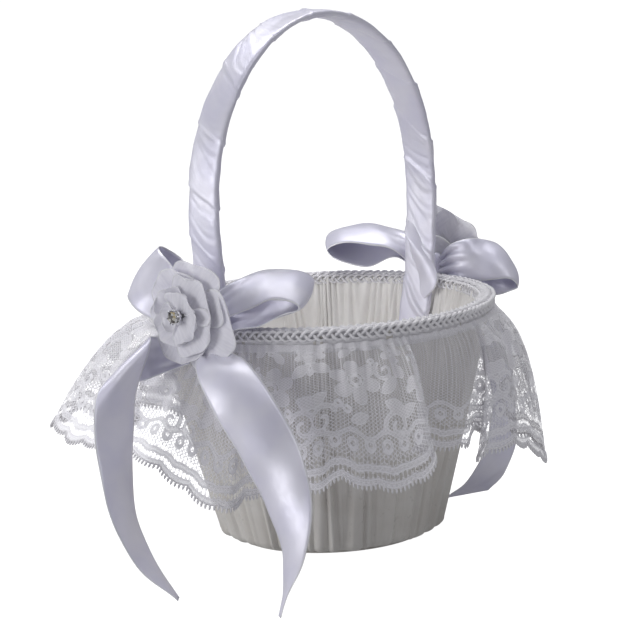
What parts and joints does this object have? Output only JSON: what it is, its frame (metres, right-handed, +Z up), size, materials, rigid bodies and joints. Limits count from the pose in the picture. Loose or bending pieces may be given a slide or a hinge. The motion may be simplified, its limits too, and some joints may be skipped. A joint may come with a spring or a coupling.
{
  "type": "flower girl basket",
  "caption": "Round satin-covered flower basket with a lace flounce, braided rim, ribbon-wrapped arched handle, satin bows and fabric flowers.",
  "frame": {"origin": "centre of the flat underside of the basket", "axes": "+Z up; the handle arches over the X axis, so its feet are at -X and +X"},
  "size_m": [0.2554, 0.2041, 0.2324],
  "materials": {
    "ivory_satin": "gathered satin",
    "ribbon_satin": "smooth satin ribbon",
    "lace_net": "patterned net",
    "braid_trim": "plaited cord",
    "petal_organza": "sheer matte petals",
    "felt": "matte felt",
    "tub_plastic": "moulded",
    "core_strip": "plain strip",
    "rivet_brass": "plain",
    "silver_metal": "polished",
    "crystal": "faceted"
  },
  "bodies": {
    "root": {"base_disc": "ivory_satin", "far_back_loop": "ribbon_satin", "far_back_tail": "ribbon_satin", "far_bow_knot": "ribbon_satin", "far_flower_backing": "felt", "far_front_loop": "ribbon_satin", "far_front_tail": "ribbon_satin", "far_inner_petal_1": "petal_organza", "far_inner_petal_2": "petal_organza", "far_inner_petal_3": "petal_organza", "far_lower_rivet": "rivet_brass", "far_middle_petal_1": "petal_organza", "far_middle_petal_2": "petal_organza", "far_middle_petal_3": "petal_organza", "far_middle_petal_4": "petal_organza", "far_outer_petal_1": "petal_organza", "far_outer_petal_2": "petal_organza", "far_outer_petal_3": "petal_organza", "far_outer_petal_4": "petal_organza", "far_outer_petal_5": "petal_organza", "far_stone": "crystal", "far_stone_setting": "silver_metal", "far_upper_rivet": "rivet_brass", "handle_core": "core_strip", "handle_wrap": "ribbon_satin", "lace_binding": "lace_net", "lace_flounce": "lace_net", "lining": "ivory_satin", "lining_floor": "ivory_satin", "near_back_loop": "ribbon_satin", "near_back_tail": "ribbon_satin", "near_bow_knot": "ribbon_satin", "near_flower_backing": "felt", "near_front_loop": "ribbon_satin", "near_front_tail": "ribbon_satin", "near_inner_petal_1": "petal_organza", "near_inner_petal_2": "petal_organza", "near_inner_petal_3": "petal_organza", "near_lower_rivet": "rivet_brass", "near_middle_petal_1": "petal_organza", "near_middle_petal_2": "petal_organza", "near_middle_petal_3": "petal_organza", "near_middle_petal_4": "petal_organza", "near_outer_petal_1": "petal_organza", "near_outer_petal_2": "petal_organza", "near_outer_petal_3": "petal_organza", "near_outer_petal_4": "petal_organza", "near_outer_petal_5": "petal_organza", "near_stone": "crystal", "near_stone_setting": "silver_metal", "near_upper_rivet": "rivet_brass", "outer_cover": "ivory_satin", "rim_braid": "braid_trim", "tub": "tub_plastic"}
  },
  "joints": []
}
